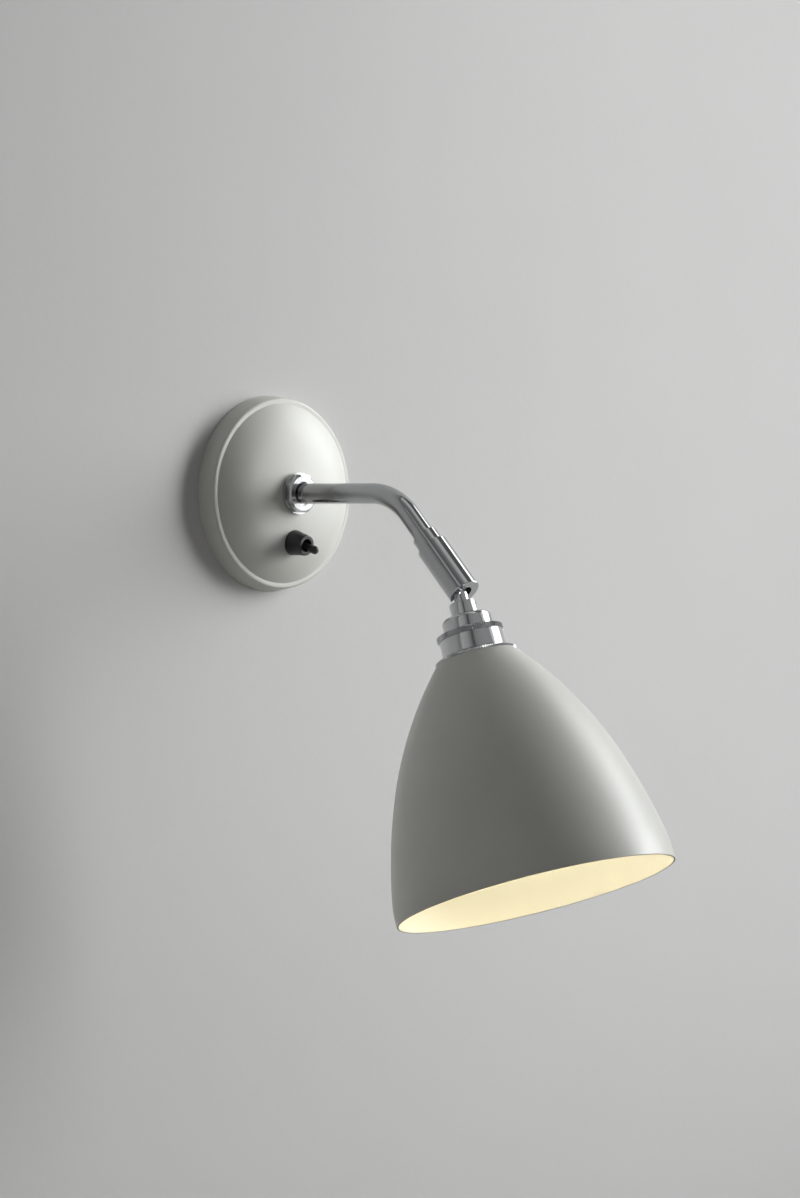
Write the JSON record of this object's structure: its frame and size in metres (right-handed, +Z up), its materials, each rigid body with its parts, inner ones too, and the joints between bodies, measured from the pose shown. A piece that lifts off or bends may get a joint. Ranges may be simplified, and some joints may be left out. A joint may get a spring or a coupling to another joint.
{
  "type": "wall reading lamp",
  "caption": "Bedside wall reading lamp: domed grey plate with a switch, short bent chrome arm, ball joint and a spun grey metal shade.",
  "frame": {"origin": "centre of the wall plate's back, on the wall", "axes": "+Y into the wall, +Z up, +X to the right for someone who faces the wall; the lamp stands out towards -Y"},
  "size_m": [0.157, 0.2889, 0.3047],
  "materials": {
    "grey_paint": "satin",
    "shade_paint": "satin",
    "zinc_plated_steel": "satin",
    "spring_steel": "satin",
    "black_steel": "matte",
    "chrome": "polished",
    "brass": "satin",
    "black_plastic": "satin",
    "block_plastic": "satin",
    "porcelain": "glossy",
    "live_pvc": "satin",
    "neutral_pvc": "satin",
    "earth_pvc": "satin",
    "sheath_pvc": "satin",
    "bulb_cap_metal": "satin",
    "black_glass": "glossy",
    "opal_glass": "satin"
  },
  "bodies": {
    "wall": {"cover_plate": "grey_paint", "wall_bracket": "zinc_plated_steel", "stem_bush": "zinc_plated_steel", "bush_back_nut": "zinc_plated_steel", "cover_nut": "chrome", "terminal_block": "block_plastic", "terminal_barrels": "brass", "terminal_screws": "zinc_plated_steel", "block_screws": "zinc_plated_steel", "earth_screw": "brass", "live_lead": "live_pvc", "switched_lead": "live_pvc", "neutral_lead": "neutral_pvc", "earth_lead": "earth_pvc", "switch_body": "black_plastic", "switch_terminals": "brass", "switch_bezel": "black_plastic"},
    "switch_dolly": {"switch_lever": "black_plastic"},
    "arm": {"arm_tube": "chrome", "arm_spring_ring": "spring_steel", "arm_collar": "brass", "collar_screw": "black_steel", "arm_lead": "sheath_pvc"},
    "barrel": {"joint_barrel": "chrome", "barrel_grub_screw": "black_steel", "ball_cup": "brass", "dish_springs": "spring_steel"},
    "head": {"ball_stem": "chrome", "neck_collar": "chrome", "nipple_nut": "brass", "holder_cap": "chrome", "union_ring": "chrome", "holder_body": "chrome", "shade_nut": "chrome", "shade_inner_nut": "chrome", "shade": "shade_paint", "holder_insulator": "porcelain", "screw_shell": "brass", "centre_contact": "brass", "holder_screws": "brass", "bulb_cap": "bulb_cap_metal", "bulb_insulator": "black_glass", "bulb_contact": "bulb_cap_metal", "bulb_glass": "opal_glass", "head_lead": "sheath_pvc"}
  },
  "joints": [
    {"name": "arm_swivel", "type": "hinge", "parent": "wall", "child": "arm", "pos_m": [0, -0.024, 0], "axis": [0, 1, 0], "range_deg": [-160, 160]},
    {"name": "barrel_turn", "type": "hinge", "parent": "arm", "child": "barrel", "pos_m": [0, -0.15191, -0.04922], "axis": [0, -0.7071, -0.7071], "range_deg": [-60, 60]},
    {"name": "head_tilt", "type": "hinge", "parent": "barrel", "child": "head", "pos_m": [0, -0.15191, -0.04922], "axis": [1, 0, 0], "range_deg": [-24, 42]},
    {"name": "switch_flip", "type": "hinge", "parent": "wall", "child": "switch_dolly", "pos_m": [0, -0.02655, -0.02956], "axis": [-1, 0, 0], "range_deg": [0, 14]}
  ]
}
